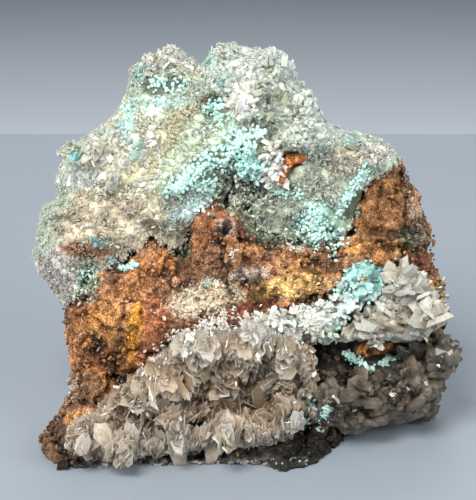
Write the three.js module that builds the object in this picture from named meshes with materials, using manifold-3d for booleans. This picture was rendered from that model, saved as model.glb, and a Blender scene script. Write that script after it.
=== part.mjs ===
// A hand specimen of hemimorphite: pale bladed crystals and a turquoise aurichalcite crust
// on a lump of rusty limonite. Millimetres, +Z up, standing on its broken base at z = 0.
import * as THREE from "three";
import { ImprovedNoise } from "three/addons/math/ImprovedNoise.js";
import { mergeVertices } from "three/addons/utils/BufferGeometryUtils.js";
import Module from "manifold-3d";

// Driving dimensions. Shapes are laid out in the face frame: x to the right, y into the rock and
// z up along the crystal face, which leans back from upright when the specimen stands on its base.
const leanBack = THREE.MathUtils.degToRad(20);
const depthToCentre = 33; // from the frame's origin back to the middle of the base
const air = 0.4; // between a crust and the piece that it grew on
const bladeRoot = 2.2; // how deep a crystal is rooted in its crust
const bladeThickness = 1.2;
const rimRoundness = 0.25; // of the curve drawn through an outline's corners
const rimBluntness = 5; // higher keeps a lump full nearer to its edge
const facetJitter = 0.35; // how far a facet's corner strays, as a share of a ring's width

const wasm = await Module();
wasm.setup();
const perlin = new ImprovedNoise();
const { degToRad, lerp, radToDeg, smoothstep } = THREE.MathUtils;

// A repeatable source of chance, one for each crust.
function chance(seed) {
  let state = seed;
  return (low, high) => {
    state = (state * 1664525 + 1013904223) % 4294967296;
    return low + ((high - low) * state) / 4294967296;
  };
}

function solidOf(geometry) {
  const bare = geometry.index ? geometry.toNonIndexed() : geometry.clone();
  bare.deleteAttribute("normal");
  bare.deleteAttribute("uv");
  const merged = mergeVertices(bare, 1e-4);
  return new wasm.Manifold(
    new wasm.Mesh({
      numProp: 3,
      vertProperties: merged.attributes.position.array,
      triVerts: new Uint32Array(merged.index.array),
    }),
  );
}

function joined(solids) {
  return solids.reduce((whole, next) => whole.add(next));
}

function largestBody(solid) {
  return solid.decompose().reduce((best, next) => (next.volume() > best.volume() ? next : best));
}

function clearOf(solid, ...cutters) {
  return largestBody(cutters.reduce((left, cutter) => left.subtract(cutter), solid));
}

// Height of a swelling (or, when negative, a pit) at a place on the face. rise tilts it up to the right.
function swelling({ at, size, rise = 0, height }, x, z) {
  const turn = degToRad(rise);
  const [dx, dz] = [x - at[0], z - at[1]];
  const along = (dx * Math.cos(turn) + dz * Math.sin(turn)) / size[0];
  const across = (dz * Math.cos(turn) - dx * Math.sin(turn)) / size[1];
  return height * Math.exp(-((along * along + across * across) ** 1.5));
}

// Depth of a crust's face: a base depth, less its swellings, with rough noise.
function face(base, swellings, { grain, depth }) {
  const parts = Object.values(swellings);
  return (x, z) => {
    const bulge = parts.reduce((sum, part) => sum + swelling(part, x, z), 0);
    const coarse = perlin.noise(x / grain, 7.3, z / grain);
    const fine = perlin.noise((2.3 * x) / grain, 1.7, (2.3 * z) / grain);
    return base(x, z) - bulge + depth * (coarse + 0.5 * fine);
  };
}

// Triangles between two closed rings of points that run the same way round.
function band(inner, outer) {
  const triangles = [];
  let i = 0;
  let o = 0;
  while (o < outer.length || (inner.length > 1 && i < inner.length)) {
    const from = [inner[i % inner.length], outer[o % outer.length]];
    if ((o + 1) / outer.length <= (i + 1) / inner.length) {
      o += 1;
      triangles.push([...from, outer[o % outer.length]].reverse());
    } else {
      i += 1;
      triangles.push([...from, inner[i % inner.length]].reverse());
    }
  }
  return triangles;
}

// A closed lump with this outline, whose face and back meet along a blunt edge half way between them.
// swell grows it on all sides, for a cutter that leaves air round it.
function relief({ outline, middle, rings, front, back }, swell = 0) {
  const clockwise = THREE.ShapeUtils.isClockWise(outline.map(([x, z]) => new THREE.Vector2(x, z)));
  const ordered = clockwise ? outline : outline.toReversed();
  const rim = new THREE.CatmullRomCurve3(
    ordered.map(([x, z]) => new THREE.Vector3(x, 0, z)),
    true,
    "catmullrom",
    rimRoundness,
  );
  const points = [];
  const pointAt = (turn, out, depth) => {
    const corner = rim.getPointAt(turn % 1);
    const jitter = out < 1 ? facetJitter / rings : 0;
    const reach = out + jitter * perlin.noise(40 * turn, 31 * out, 2.5);
    const x = lerp(middle[0], corner.x, reach);
    const z = lerp(middle[1], corner.z, reach);
    const edge = (front(x, z) + back(x, z)) / 2;
    const fullness = Math.sqrt(Math.max(0, 1 - out ** rimBluntness));
    return points.push(x, edge + (depth(x, z) - edge) * fullness, z) / 3 - 1;
  };
  const ringOf = (ring, depth) => {
    const sides = Math.max(1, 6 * ring);
    return Array.from({ length: sides }, (_, side) => pointAt(side / sides, ring / rings, depth));
  };
  const edgeRing = ringOf(rings, front);
  const sheet = (depth) => {
    const layers = Array.from({ length: rings }, (_, ring) => ringOf(ring, depth)).concat([edgeRing]);
    return layers.slice(1).flatMap((layer, ring) => band(layers[ring], layer));
  };
  const faceTriangles = sheet(front).flat();
  const backTriangles = sheet(back).flatMap((triangle) => triangle.reverse());
  const geometry = new THREE.BufferGeometry()
    .setAttribute("position", new THREE.Float32BufferAttribute(points, 3))
    .setIndex(faceTriangles.concat(backTriangles));
  geometry.computeVertexNormals();
  const { position, normal } = geometry.attributes;
  position.array.forEach((value, i) => {
    position.array[i] = value + swell * normal.array[i];
  });
  return solidOf(geometry);
}

// One tabular crystal: a thin plate that widens from its root and ends in a slanted roof.
function blade({ root, along, facing, length, width, thickness }) {
  const plate = new THREE.Shape([
    new THREE.Vector2(-0.3 * width, 0),
    new THREE.Vector2(0.3 * width, 0),
    new THREE.Vector2(0.5 * width, 0.66 * length),
    new THREE.Vector2(0.14 * width, length),
    new THREE.Vector2(-0.5 * width, 0.74 * length),
  ]);
  const crystal = new THREE.ExtrudeGeometry(plate, { depth: thickness, bevelEnabled: false });
  const side = new THREE.Vector3().crossVectors(along, facing).normalize();
  const normal = new THREE.Vector3().crossVectors(side, along).normalize();
  crystal.translate(0, 0, -thickness / 2);
  crystal.applyMatrix4(new THREE.Matrix4().makeBasis(side, along, normal).setPosition(root));
  return solidOf(crystal);
}

// A spray of blades rooted at one place on a crust. aim is its middle direction, spread how far it splays.
function spray(part, front, between, swell) {
  const { at, aim, spread, count, length, width, thickness = bladeThickness, root = bladeRoot } = part;
  const [x, z] = at;
  const start = new THREE.Vector3(x, front(x, z) + root, z);
  const middle = new THREE.Vector3(...aim).normalize();
  const anyWay = () => new THREE.Vector3(between(-1, 1), between(-1, 1), between(-1, 1));
  return Array.from({ length: count }, () => {
    const size = between(0.75, 1.15);
    return blade({
      root: start,
      along: middle.clone().addScaledVector(anyWay(), spread).normalize(),
      facing: anyWay(),
      length: length * size + 2 * swell,
      width: width * size + 3 * swell,
      thickness: thickness + 2 * swell,
    });
  });
}

function crust(shape, swell = 0) {
  const between = chance(shape.seed);
  const sprays = shape.sprays.flatMap((part) => spray(part, shape.front, between, swell));
  return joined([relief(shape, swell), ...sprays]);
}

// Limonite: the rusty rock that everything grew on. It runs below the base and is trimmed there.
const rockFront = face(
  (x, z) => {
    const recedeRight = 0.5 * Math.max(0, x - 24);
    const recedeLeft = 0.3 * Math.max(0, -38 - x);
    const undercut = 18 * smoothstep(x, 17, 28) * (1 - smoothstep(z, 9, 26));
    const acrossHollow = smoothstep(x, -46, -30) * (1 - smoothstep(x, 14, 24));
    const upHollow = smoothstep(z, 5, 12) * (1 - smoothstep(z - 0.2 * x, 27, 37));
    return 5.5 + 0.17 * z + recedeRight + recedeLeft + undercut + 9 * acrossHollow * upHollow;
  },
  {
    knob: { at: [-5.5, 61], size: [6, 6.5], height: 10 },
    leftRidge: { at: [-24, 52], size: [17, 6.5], rise: 36, height: 6 },
    greenPocket: { at: [-17, 58.5], size: [3.5, 5.5], height: -6 },
    paleWindow: { at: [-10.5, 43], size: [11, 5], height: -2.5 },
    leftCheek: { at: [-37, 35], size: [11, 13], height: 4 },
    fan: { at: [-24, 36], size: [6.5, 10], rise: -12, height: 5 },
    rightSlope: { at: [10, 52], size: [19, 6.5], rise: -12, height: 6 },
    greenRecess: { at: [13, 69], size: [15, 10], rise: -10, height: -11 },
    ochreShelf: { at: [13, 46], size: [13, 4.5], rise: 10, height: 4.5 },
    rustLip: { at: [0, 38.5], size: [18, 3], rise: 17, height: 3 },
    rightLump: { at: [40, 61], size: [8.5, 16], rise: 12, height: 9 },
    leftFoot: { at: [-46, 6], size: [10, 12], height: 6 },
    greenToe: { at: [10.5, 0], size: [4, 6], height: 7 },
    ledgeSlot: { at: [37, 30], size: [15, 4], rise: 4, height: -8 },
  },
  { grain: 5, depth: 1.7 },
);
const rockBack = (x, z) => {
  const brokenSides = Math.min(62 - 0.27 * z, 76 - 0.8 * x, 72 + 0.65 * x, 70 + 0.35 * x - 0.2 * z);
  return brokenSides + 2.5 * perlin.noise(x / 11, 4.4, z / 11);
};
const rockShape = {
  outline: [
    [-57, -14], [-55, 4], [-51, 11], [-46, 18], [-44, 26], [-46, 33], [-47, 44], [-45, 60],
    [-38, 76], [-28, 85], [-20, 93], [-6, 96], [6, 94], [14, 87], [24, 82], [33, 82.5], [40.5, 81],
    [43, 74], [46, 66], [49, 60], [48, 55], [51.5, 48], [53, 41], [50, 30], [49, 10], [46, -14],
    [0, -18],
  ],
  middle: [0, 40],
  rings: 14,
  front: rockFront,
  back: rockBack,
};

// Upper hemimorphite: pale domes of fine blades along the top and the left of the face.
const upperFront = face(
  (x, z) => 17.5 + 0.06 * (z - 70) + 0.2 * Math.max(0, x - 22),
  {
    leftDome: { at: [-31, 72], size: [20, 17], height: 9 },
    leftFlank: { at: [-45, 54], size: [10, 14], height: 7 },
    topLeft: { at: [-21, 96], size: [10, 11], height: 6 },
    topRight: { at: [3, 95], size: [14, 14], height: 7 },
    rightDome: { at: [15, 82], size: [11, 10], height: 5 },
    arch: { at: [-4, 80], size: [16, 4.5], rise: 28, height: 6 },
    underArch: { at: [-1, 70], size: [7, 5], height: -4 },
    dustedSlope: { at: [19, 66], size: [9, 9], height: 4 },
    crest: { at: [29, 79], size: [7, 6], height: 4 },
    leftPocket: { at: [-21, 96.5], size: [7, 3.5], height: -4 },
    rightPocket: { at: [-8, 92.5], size: [4.5, 4.5], height: -4 },
    tealPocket: { at: [-39.5, 48.5], size: [4, 7], height: -4 },
  },
  { grain: 2.3, depth: 2.2 },
);
const upperShape = {
  outline: [
    [-41, 38], [-46.5, 42], [-49.5, 46.5], [-54, 52], [-54.5, 57.5], [-53, 61], [-53.5, 66.5],
    [-48, 70], [-49, 75], [-46.5, 80], [-41, 86], [-35, 90], [-32, 94.5], [-30, 99], [-29.5, 104],
    [-24, 106], [-20, 109], [-15.5, 107.5], [-11.8, 103.5], [-9, 108], [-4, 109.5], [2, 108.5],
    [8, 108], [12.5, 105], [13.5, 99.5], [16.5, 97], [20.5, 90], [25, 87], [30, 87], [36, 84.5],
    [40, 79], [33, 66], [28, 56], [10, 50], [-12, 50], [-30, 42],
  ],
  middle: [-10, 76],
  rings: 10,
  front: upperFront,
  back: (x, z) => 35 + 0.05 * (z - 76),
  seed: 5,
  sprays: [
    { at: [-20, 102], aim: [-0.2, -0.5, 1], spread: 0.5, count: 3, length: 8, width: 6, root: 5 },
    { at: [-4, 103], aim: [-0.2, -0.5, 1], spread: 0.5, count: 3, length: 8, width: 6, root: 5 },
    { at: [7, 101], aim: [0.3, -0.5, 1], spread: 0.5, count: 3, length: 8, width: 6, root: 5 },
    { at: [14, 91], aim: [0.6, -0.8, 0.4], spread: 0.5, count: 2, length: 8, width: 6, root: 4 },
    { at: [-39, 79], aim: [-0.5, -0.8, 0.5], spread: 0.5, count: 3, length: 8, width: 6, root: 4 },
    { at: [-46, 65], aim: [-0.6, -0.8, 0.1], spread: 0.5, count: 2, length: 7, width: 6, root: 4 },
    { at: [-46, 50], aim: [-0.6, -0.8, -0.1], spread: 0.5, count: 2, length: 7, width: 5, root: 4 },
    { at: [-33, 72], aim: [-0.1, -1, 0.3], spread: 0.8, count: 3, length: 7, width: 6 },
    { at: [-23, 66], aim: [0.1, -1, -0.1], spread: 0.8, count: 3, length: 7, width: 6 },
    { at: [3, 94], aim: [0, -1, 0.3], spread: 0.8, count: 3, length: 7, width: 6 },
    { at: [12, 86], aim: [0.2, -1, 0.1], spread: 0.8, count: 3, length: 7, width: 6 },
    { at: [29, 80], aim: [0.3, -0.8, 0.5], spread: 0.6, count: 2, length: 7, width: 5, root: 4 },
  ],
};

// Tan hemimorphite: sprays of broad thin plates lining the hollow in the lower front.
const tanFront = face(
  (x, z) => 3 + 0.05 * z,
  {
    toe: { at: [-36, 9], size: [9, 7], height: 2 },
    brow: { at: [-8, 31], size: [22, 5], rise: 16, height: 4 },
    hollow: { at: [3, 19], size: [12, 7], height: -4 },
    sill: { at: [-12, 8.5], size: [26, 4], rise: 5, height: 2.5 },
  },
  { grain: 2.3, depth: 2.4 },
);
const tanShape = {
  outline: [
    [-46, 7], [-44, 3.5], [-37, 2], [-30, 2.5], [-24, 3.6], [-14, 5], [-4, 6], [6, 7], [13, 10],
    [18, 14], [19, 20], [18, 28], [16.5, 34], [9, 38], [-1, 38], [-11, 37.5], [-20, 36.5],
    [-26, 29], [-32, 22], [-40, 15],
  ],
  middle: [-10, 20],
  rings: 7,
  front: tanFront,
  back: () => 18,
  seed: 3,
  sprays: [
    { at: [-38, 9], aim: [-0.3, -1, 0.3], spread: 0.6, count: 2, length: 8, width: 8 },
    { at: [-32, 7], aim: [0, -1, 0.1], spread: 0.6, count: 2, length: 8, width: 8 },
    { at: [-28, 17], aim: [-0.3, -1, 0.3], spread: 0.6, count: 2, length: 9, width: 8 },
    { at: [-20, 27], aim: [-0.2, -1, 0.3], spread: 0.6, count: 2, length: 9, width: 8 },
    { at: [-11, 33], aim: [-0.1, -1, 0.1], spread: 0.6, count: 2, length: 9, width: 8 },
    { at: [-18, 13], aim: [0, -1, 0.2], spread: 0.6, count: 2, length: 8, width: 8 },
    { at: [0, 33], aim: [0.1, -1, 0], spread: 0.6, count: 2, length: 9, width: 8 },
    { at: [-8, 22], aim: [0, -1, 0.1], spread: 0.7, count: 2, length: 8, width: 8 },
    { at: [9, 31], aim: [0.2, -1, -0.1], spread: 0.6, count: 2, length: 8, width: 7 },
    { at: [11, 21], aim: [0.1, -1, 0], spread: 0.7, count: 2, length: 8, width: 7 },
    { at: [-4, 10], aim: [0, -1, 0.3], spread: 0.6, count: 2, length: 7, width: 7 },
    { at: [9, 13], aim: [0.2, -1, 0.3], spread: 0.6, count: 2, length: 7, width: 7 },
  ],
};

// Smoky hemimorphite: grey glassy crystals on the lower right.
const smokyFront = face(
  (x) => 9 + 0.4 * (x - 16),
  {
    inner: { at: [24, 17], size: [7, 7], height: 2.5 },
    outer: { at: [41, 20], size: [8, 8], height: 3 },
    shoulder: { at: [51, 30], size: [5, 6], height: 3 },
  },
  { grain: 2.6, depth: 2.2 },
);
const smokyShape = {
  outline: [
    [14, 15], [20, 10], [27, 8.8], [33, 11], [40, 11.5], [46, 12.5], [49.5, 17], [50.5, 22],
    [53, 26], [54.5, 31], [52, 36.5], [47, 36.5], [42, 31.5], [32, 31], [22, 31], [15, 24],
  ],
  middle: [36, 19],
  rings: 5,
  front: smokyFront,
  back: (x) => 26 + 0.4 * (x - 16),
  seed: 4,
  sprays: [
    { at: [23, 17], aim: [0.1, -1, 0.1], spread: 0.8, count: 2, length: 6, width: 6, thickness: 1.4 },
    { at: [31, 21], aim: [0.1, -1, 0.1], spread: 0.8, count: 2, length: 6.5, width: 6.5, thickness: 1.6 },
    { at: [41, 20], aim: [0.4, -1, 0.1], spread: 0.8, count: 2, length: 6.5, width: 6, thickness: 1.4 },
    { at: [50, 30], aim: [0.9, -0.7, 0.1], spread: 0.7, count: 2, length: 5, width: 5, thickness: 1.2 },
  ],
};

// Ledge hemimorphite: clear stout crystals over the dark slot on the right.
const ledgeFront = face(
  (x) => 8.5 + 0.15 * (x - 22),
  { crystals: { at: [41, 43], size: [7, 6], height: 2 }, brow: { at: [34, 36], size: [14, 3], height: 2.5 } },
  { grain: 2.6, depth: 1.6 },
);
const ledgeShape = {
  outline: [
    [15, 33.5], [22, 32.8], [30, 33.3], [36, 33.3], [42, 32.6], [47.5, 34], [49, 38], [47, 44],
    [45, 50], [40, 52], [35, 49], [27, 44], [20, 39],
  ],
  middle: [37, 40],
  rings: 4,
  front: ledgeFront,
  back: (x) => 22 + 0.4 * (x - 22),
  seed: 2,
  sprays: [
    { at: [39, 46], aim: [0, -0.8, 0.7], spread: 0.5, count: 3, length: 7, width: 6, thickness: 2.6 },
    { at: [44, 41], aim: [0.5, -1, 0.1], spread: 0.5, count: 3, length: 6.5, width: 6, thickness: 2.4 },
    { at: [31, 36], aim: [0, -1, -0.1], spread: 0.5, count: 2, length: 5, width: 5, thickness: 1.6 },
  ],
};

// Aurichalcite: a turquoise crust along the edge between the rust and the lower crystals.
const turquoiseShape = {
  outline: [
    [-4, 36], [4, 36.2], [12, 36], [16, 33], [21, 32.5], [25, 37], [31, 42.5], [36.5, 47],
    [37.5, 51], [34, 54], [27, 53], [21, 49.5], [15, 45.5], [8, 42.5], [0, 40],
  ],
  middle: [22, 43],
  rings: 6,
  front: face(
    (x) => 6 + 0.08 * x,
    { plate: { at: [30, 48], size: [8, 5], height: 2 }, flank: { at: [20, 39], size: [8, 4], height: 2 } },
    { grain: 2.4, depth: 1.3 },
  ),
  back: () => 20,
};

// Limonite flake: a red sliver caught in the upper crystals.
const flakeShape = {
  outline: [[7.5, 73.5], [9.5, 73.5], [11.5, 78], [17, 79.5], [17, 81], [10.5, 81]],
  middle: [10.5, 78.5],
  rings: 3,
  front: (x) => 10.4 + 0.1 * x,
  back: (x) => 14 + 0.1 * x,
};

const rock = relief(rockShape);
const flake = relief(flakeShape);
const rockAndAir = relief(rockShape, air);
const turquoiseAndAir = relief(turquoiseShape, air);
const ledgeAndAir = crust(ledgeShape, air);
const turquoise = clearOf(relief(turquoiseShape), rockAndAir);
const ledge = clearOf(crust(ledgeShape), rockAndAir, turquoiseAndAir);
const tan = clearOf(crust(tanShape), rockAndAir, turquoiseAndAir, ledgeAndAir);
const smoky = clearOf(crust(smokyShape), rockAndAir, ledgeAndAir, crust(tanShape, air));
const upper = clearOf(crust(upperShape), rockAndAir, relief(flakeShape, air));

// Stands a face-frame solid on its base: leans it back, trims it at the ground and centres it.
const ground = solidOf(new THREE.BoxGeometry(400, 400, 100).translate(0, 0, -50));
function stood(solid) {
  const leaning = solid.rotate([-radToDeg(leanBack), 0, 0]);
  return largestBody(leaning.subtract(ground)).translate([0, -depthToCentre, 0]);
}

function pieceMesh(name, solid, material) {
  const { vertProperties, triVerts } = stood(solid).getMesh();
  const geometry = new THREE.BufferGeometry()
    .setAttribute("position", new THREE.BufferAttribute(vertProperties, 3))
    .setIndex(new THREE.BufferAttribute(triVerts, 1));
  const mesh = new THREE.Mesh(geometry, new THREE.MeshStandardMaterial(material));
  mesh.name = name;
  return mesh;
}

const specimen = new THREE.Group();
specimen.name = "hemimorphite_specimen";
specimen.add(
  pieceMesh("limonite_matrix", rock, { color: 0x8a4f26, roughness: 0.95 }),
  pieceMesh("upper_hemimorphite", upper, { color: 0xc8d3bf, roughness: 0.3 }),
  pieceMesh("tan_hemimorphite", tan, { color: 0xbfa98c, roughness: 0.3 }),
  pieceMesh("smoky_hemimorphite", smoky, { color: 0x8c8474, roughness: 0.2 }),
  pieceMesh("ledge_hemimorphite", ledge, { color: 0xa8a69c, roughness: 0.2 }),
  pieceMesh("aurichalcite_crust", turquoise, { color: 0x8fd0c8, roughness: 0.7 }),
  pieceMesh("limonite_flake", flake, { color: 0xa04a22, roughness: 0.9 }),
);

export default specimen;
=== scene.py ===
import math

import bpy
import numpy as np
from mathutils.bvhtree import BVHTree
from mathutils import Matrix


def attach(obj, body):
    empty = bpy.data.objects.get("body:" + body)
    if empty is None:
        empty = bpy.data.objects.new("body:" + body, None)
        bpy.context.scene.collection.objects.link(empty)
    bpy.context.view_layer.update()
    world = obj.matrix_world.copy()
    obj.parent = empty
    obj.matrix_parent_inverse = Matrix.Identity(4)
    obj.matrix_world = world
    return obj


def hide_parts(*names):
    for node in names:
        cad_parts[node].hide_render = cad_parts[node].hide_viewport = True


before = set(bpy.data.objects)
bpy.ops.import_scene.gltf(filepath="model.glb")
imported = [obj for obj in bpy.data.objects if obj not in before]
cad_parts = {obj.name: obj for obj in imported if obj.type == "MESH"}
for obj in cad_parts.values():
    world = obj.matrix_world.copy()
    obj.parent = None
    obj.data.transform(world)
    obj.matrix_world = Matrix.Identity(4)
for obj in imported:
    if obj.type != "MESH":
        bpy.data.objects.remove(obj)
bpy.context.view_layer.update()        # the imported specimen, one object for each mineral
bpy.ops.object.select_all(action="DESELECT")
print("frame loaded:", ", ".join(sorted(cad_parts)))

# Places on the specimen are in face millimetres: across to the right, deep into the rock, and up
# along the crystal face, which leans back from upright.
leanBack = math.radians(20)
faceToCentre = 33
millimetre = 0.001
skyHeight = -80        # in front of everything, to look for a surface from
raggedness = 0.25        # of the edges of the painted areas

# colours of the minerals, linear
tints = {
    "mint": (0.75, 0.86, 0.62), "mintWhite": (0.87, 0.94, 0.74), "cream": (0.88, 0.83, 0.60),
    "gold": (0.80, 0.69, 0.42), "beige": (0.80, 0.67, 0.46), "brownGrey": (0.64, 0.54, 0.38),
    "pinkBeige": (0.80, 0.71, 0.60), "teal": (0.36, 0.66, 0.57), "turquoise": (0.32, 0.72, 0.65),
    "paleTurquoise": (0.68, 0.90, 0.82), "white": (0.95, 0.91, 0.80), "olive": (0.58, 0.62, 0.48),
    "greyGreen": (0.56, 0.59, 0.45), "darkGreen": (0.14, 0.17, 0.115), "yellow": (0.82, 0.76, 0.45),
    "rust": (0.40, 0.18, 0.075), "brown": (0.29, 0.15, 0.08), "ochre": (0.66, 0.41, 0.16),
    "darkBrown": (0.10, 0.065, 0.04), "purpleBrown": (0.36, 0.13, 0.06), "redBrown": (0.20, 0.07, 0.035),
    "orange": (0.54, 0.25, 0.08), "greyBrown": (0.38, 0.31, 0.25), "black": (0.02, 0.018, 0.015),
    "slate": (0.30, 0.28, 0.26), "tan": (0.72, 0.49, 0.30), "paleTan": (0.93, 0.75, 0.56),
    "deepTan": (0.32, 0.21, 0.125), "smoke": (0.38, 0.305, 0.21), "ice": (0.84, 0.77, 0.64),
    "flakeRed": (0.52, 0.17, 0.055), "umber": (0.25, 0.115, 0.045), "amber": (0.46, 0.20, 0.035),
    "aqua": (0.50, 0.95, 0.88),
}


def toWorld(places):
    across, deep, up = np.moveaxis(np.asarray(places, float), -1, 0)
    back = deep * math.cos(leanBack) + up * math.sin(leanBack) - faceToCentre
    high = up * math.cos(leanBack) - deep * math.sin(leanBack)
    return np.stack([across, back, high], -1) * millimetre


def toFace(points):
    across, back, high = np.moveaxis(np.asarray(points, float) / millimetre, -1, 0)
    back = back + faceToCentre
    deep = back * math.cos(leanBack) - high * math.sin(leanBack)
    up = back * math.sin(leanBack) + high * math.cos(leanBack)
    return np.stack([across, deep, up], -1)


def unit(vectors):
    return vectors / np.maximum(np.linalg.norm(vectors, axis=-1, keepdims=True), 1e-9)


# smooth chance from -1 to 1, the same at each run
def noiseAt(places, grain, seed=0):
    spots = np.asarray(places, float) / grain + 13.7 * seed
    cell = np.floor(spots).astype(np.int64)
    part = spots - cell
    ease = part * part * (3 - 2 * part)
    total = np.zeros(len(spots))
    for corner in np.ndindex(2, 2, 2):
        key = (cell + corner) * (374761, 668265, 1274126)
        mixed = (key[:, 0] ^ key[:, 1] ^ key[:, 2]) & 0xFFFFFF
        mixed = (mixed * (mixed * mixed * 15731 + 789221) + 1376312589) & 0x7FFFFFFF
        share = np.prod(np.where(corner, ease, 1 - ease), axis=1)
        total += share * (mixed / 0x3FFFFFFF - 1)
    return total


# how far inside an ellipse on the face each place is: 1 inside, 0 outside, with a ragged soft edge
def within(places, place, seed=0):
    ragged = raggedness * (noiseAt(places, 5, seed) + 0.7 * noiseAt(places, 1.7, seed + 1))
    turn = math.radians(place.get("rise", 0))
    across = places[:, 0] - place["at"][0]
    up = places[:, 2] - place["at"][1]
    along = (across * math.cos(turn) + up * math.sin(turn)) / place["size"][0]
    over = (up * math.cos(turn) - across * math.sin(turn)) / place["size"][1]
    depthFade = np.clip((place.get("reach", 32) - places[:, 1]) / 6, 0, 1)
    ramp = np.clip((1.2 - np.hypot(along, over) + ragged) / 0.4, 0, 1)
    return ramp * ramp * (3 - 2 * ramp) * depthFade


def paint(places, look):
    colours = np.tile(np.array(tints[look["base"]]), (len(places), 1))
    for number, place in enumerate(look["areas"]):
        share = within(places, place, number) * place.get("amount", 1)
        colours += (np.array(tints[place["tint"]]) - colours) * share[:, None]
    return colours


# an ellipse on the face: its tint, middle, half sizes and slope in degrees
def area(tint, at, size, rise=0, **more):
    return dict(tint=tint, at=at, size=size, rise=rise, **more)


# a mesh object from arrays: faces is a list of arrays, each with the corners of one kind of face
def arrayPiece(name, places, faces, colours, marks=None, smooth=False):
    mesh = bpy.data.meshes.new(name)
    mesh.vertices.add(len(places))
    mesh.vertices.foreach_set("co", onFloor(toWorld(places)).ravel())
    corners = np.concatenate([kind.ravel() for kind in faces])
    totals = np.concatenate([np.full(len(kind), kind.shape[1]) for kind in faces])
    mesh.loops.add(len(corners))
    mesh.loops.foreach_set("vertex_index", corners)
    mesh.polygons.add(len(totals))
    mesh.polygons.foreach_set("loop_start", np.concatenate([[0], np.cumsum(totals)[:-1]]))
    mesh.polygons.foreach_set("use_smooth", np.full(len(totals), smooth))
    mesh.update(calc_edges=True)
    mesh.validate()
    stainAndShade(mesh, colours)
    if marks is not None:
        mesh.attributes.new("bladeMark", "FLOAT_VECTOR", "POINT").data.foreach_set("vector", marks.ravel())
    piece = bpy.data.objects.new(name, mesh)
    bpy.context.collection.objects.link(piece)
    return piece


# writes the colour attribute, which carries painted shade and light as well as the minerals' own colours
def stainAndShade(mesh, colours):
    rgba = np.concatenate([np.clip(colours, 0, 1), np.ones((len(colours), 1))], 1)
    mesh.attributes.new("tint", "FLOAT_COLOR", "POINT").data.foreach_set("color", rgba.ravel())


def vertexPlaces(piece):
    flat = np.empty(3 * len(piece.data.vertices))
    piece.data.vertices.foreach_get("co", flat)
    return toFace(flat.reshape(-1, 3))


def makeActive(piece):
    bpy.ops.object.select_all(action="DESELECT")
    piece.select_set(True)
    bpy.context.view_layer.objects.active = piece


# a merged copy of a CAD node, remeshed and roughened by listed lumps (texture, grain mm, height mm),
# cracks (grain mm, depth mm) and pits, where a pit with a negative depth is a knob
def roughCopy(node, name, look):
    piece = bpy.data.objects.new(name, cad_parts[node].data.copy())
    piece.data.name = name
    piece.data.materials.clear()
    bpy.context.collection.objects.link(piece)
    makeActive(piece)
    bpy.ops.object.mode_set(mode="EDIT")
    bpy.ops.mesh.select_all(action="SELECT")
    bpy.ops.mesh.remove_doubles(threshold=1e-5)
    bpy.ops.object.mode_set(mode="OBJECT")
    remesh = piece.modifiers.new("remesh", "REMESH")
    remesh.mode = "VOXEL"
    remesh.voxel_size = look["voxel"] * millimetre
    bpy.ops.object.modifier_apply(modifier=remesh.name)
    plain = vertexPlaces(piece)
    if "sink" in look:
        sink = piece.modifiers.new("sink", "DISPLACE")
        sink.mid_level = 0
        sink.strength = -look["sink"] * millimetre
        bpy.ops.object.modifier_apply(modifier=sink.name)
    sunk = vertexPlaces(piece)
    for kind, grain, height in look["lumps"]:
        texture = bpy.data.textures.new(name + kind.title(), kind)
        texture.noise_scale = grain * millimetre
        lump = piece.modifiers.new("lump", "DISPLACE")
        lump.texture = texture
        lump.strength = height * millimetre
        bpy.ops.object.modifier_apply(modifier=lump.name)
    places = vertexPlaces(piece)
    normals = np.empty(3 * len(places))
    piece.data.vertex_normals.foreach_get("vector", normals)
    outward = toFace(normals.reshape(-1, 3) * millimetre) - toFace(np.zeros((1, 3)))
    for number, (grain, depth) in enumerate(look.get("cracks", [])):
        bend = np.column_stack([noiseAt(plain, grain / 2, 80 + number + side) for side in (0, 10, 20)])
        split = np.clip(1 - np.abs(noiseAt(plain + 0.25 * grain * bend, grain, 90 + number)) / 0.16, 0, 1)
        places -= outward * (depth * split)[:, None]
    height = np.einsum("ij,ij->i", places - sunk, outward)
    for number, pit in enumerate(look.get("pits", [])):
        places[:, 1] += pit["depth"] * within(plain, pit, 40 + number)
    piece.data.vertices.foreach_set("co", onFloor(toWorld(places)).ravel())
    piece.data.update()
    piece.data.polygons.foreach_set("use_smooth", np.full(len(piece.data.polygons), True))
    return piece, places, height / max(height.std(), 1e-6)


def onFloor(points):
    points[:, 2] = np.maximum(points[:, 2], 0)
    return points


def settle(piece, material, node=None):
    piece.data.materials.append(material)
    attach(piece, "root")
    if node:
        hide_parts(node)
    print(f"{piece.name}: {sum(len(p.vertices) - 2 for p in piece.data.polygons)} triangles")


# the CAD solids as triangles in face millimetres, and as trees to look for surfaces in
def solidOf(node):
    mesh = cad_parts[node].data
    mesh.calc_loop_triangles()
    corners = np.empty(3 * len(mesh.vertices))
    mesh.vertices.foreach_get("co", corners)
    triangles = np.empty(3 * len(mesh.loop_triangles), np.int32)
    mesh.loop_triangles.foreach_get("vertices", triangles)
    return toFace(corners.reshape(-1, 3)), triangles.reshape(-1, 3)


def treeOf(places, triangles):
    return BVHTree.FromPolygons(places.tolist(), triangles.tolist(), all_triangles=True)


solids = {node: solidOf(node) for node in sorted(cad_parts)}
trees = {node: treeOf(*solids[node]) for node in solids}
dressed = {}        # the roughened surfaces, which small pieces are set on


def remember(piece, node):
    piece.data.calc_loop_triangles()
    triangles = np.empty(3 * len(piece.data.loop_triangles), np.int32)
    piece.data.loop_triangles.foreach_get("vertices", triangles)
    dressed[node] = treeOf(vertexPlaces(piece), triangles.reshape(-1, 3))


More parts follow.
